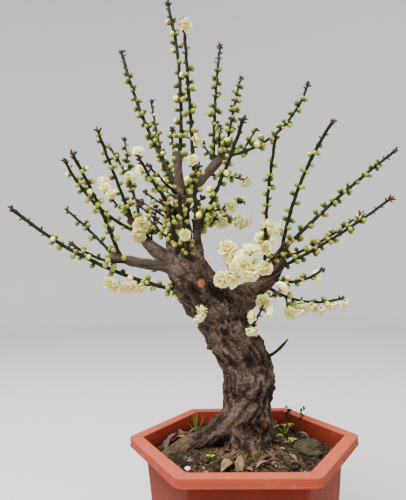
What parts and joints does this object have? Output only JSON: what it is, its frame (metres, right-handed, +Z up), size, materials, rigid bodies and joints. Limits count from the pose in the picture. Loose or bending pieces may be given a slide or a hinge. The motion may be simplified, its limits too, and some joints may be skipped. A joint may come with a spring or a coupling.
{
  "type": "potted flowering plum bonsai",
  "caption": "Bonsai plum tree with a thick curved trunk, sawn stubs and long budding shoots with double blossoms, planted in a hexagonal plastic pot.",
  "frame": {"origin": "middle of the pot's standing face", "axes": "+Z up the plant, +X to the right and -Y towards the viewer, with two of the pot's corners on X"},
  "size_m": [0.5571, 0.3042, 0.7948],
  "materials": {
    "pot_plastic": "satin",
    "soil": "matte",
    "bark": "matte",
    "green_stem": "satin",
    "petal": "matte",
    "moss": "matte",
    "dry_leaf": "matte",
    "pebble": "matte",
    "grass": "satin"
  },
  "bodies": {
    "root": {"blossom_crown": "petal", "blossom_inner_tip": "petal", "blossom_left_double": "petal", "blossom_low": "petal", "blossom_top": "petal", "blossoms_centre": "petal", "blossoms_centre_back": "petal", "blossoms_inner": "petal", "blossoms_left": "petal", "blossoms_left_low": "petal", "blossoms_right_low": "petal", "blossoms_right_tip": "petal", "blossoms_trunk": "petal", "curled_leaf": "dry_leaf", "dried_sprig": "dry_leaf", "grass_tuft": "grass", "mossy_clod": "moss", "pebble": "pebble", "pot": "pot_plastic", "seedling": "grass", "shoot_crown_1": "green_stem", "shoot_crown_10": "green_stem", "shoot_crown_2": "green_stem", "shoot_crown_3": "green_stem", "shoot_crown_4": "green_stem", "shoot_crown_5": "green_stem", "shoot_crown_6": "green_stem", "shoot_crown_7": "green_stem", "shoot_crown_8": "green_stem", "shoot_crown_9": "green_stem", "shoot_front_1": "green_stem", "shoot_front_2": "green_stem", "shoot_front_3": "green_stem", "shoot_inner_1": "green_stem", "shoot_inner_2": "green_stem", "shoot_inner_3": "green_stem", "shoot_left_1": "green_stem", "shoot_left_2": "green_stem", "shoot_left_3": "green_stem", "shoot_left_4": "green_stem", "shoot_left_5": "green_stem", "shoot_low_1": "green_stem", "shoot_low_2": "green_stem", "shoot_low_3": "green_stem", "shoot_low_4": "green_stem", "shoot_right_1": "green_stem", "shoot_right_2": "green_stem", "shoot_right_3": "green_stem", "shoot_right_4": "green_stem", "shoot_right_5": "green_stem", "shoot_right_6": "green_stem", "shoot_right_7": "green_stem", "shoot_side_1": "green_stem", "shoot_side_2": "green_stem", "shoot_side_3": "green_stem", "shoot_side_4": "green_stem", "shoot_side_5": "green_stem", "soil": "soil", "trunk": "bark", "upright_leaf": "dry_leaf"}
  },
  "joints": []
}
